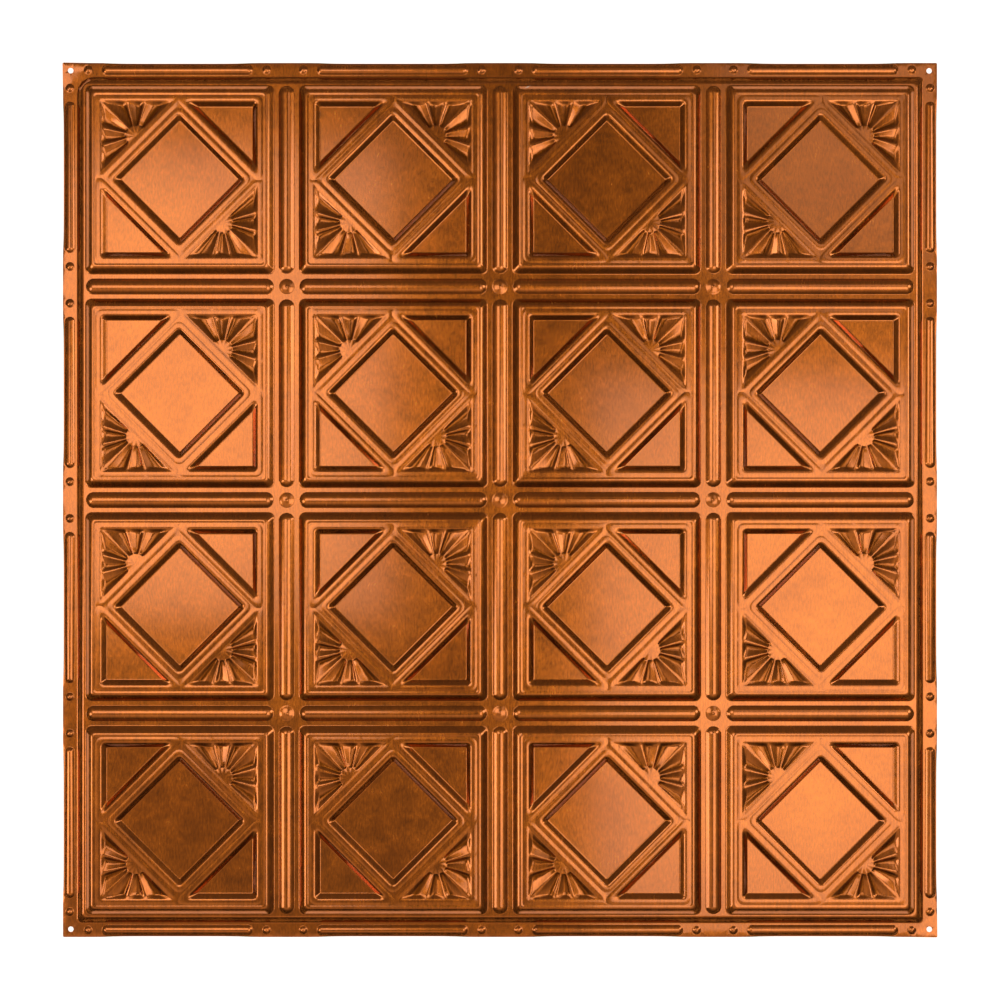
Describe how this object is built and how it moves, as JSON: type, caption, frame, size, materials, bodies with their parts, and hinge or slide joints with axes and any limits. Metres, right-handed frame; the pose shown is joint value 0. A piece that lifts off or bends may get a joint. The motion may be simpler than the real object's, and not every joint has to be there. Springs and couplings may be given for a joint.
{
  "type": "pressed tin ceiling tile",
  "caption": "square stamped sheet metal ceiling tile with raised cells of sunk diamonds and corner fans, rounded bars between them and a beaded nailing flange",
  "frame": {"origin": "middle of the square at the level of the flange back, where the tile rests on the floor", "axes": "+Z out of the decorated face, +X and +Y along two edges of the square"},
  "size_m": [0.6192, 0.6192, 0.0068],
  "materials": {
    "copper_lacquer": "satin antique copper lacquer over tinplate with a fine brushed grain"
  },
  "bodies": {
    "root": {"pressed_sheet": "copper_lacquer"}
  },
  "joints": []
}
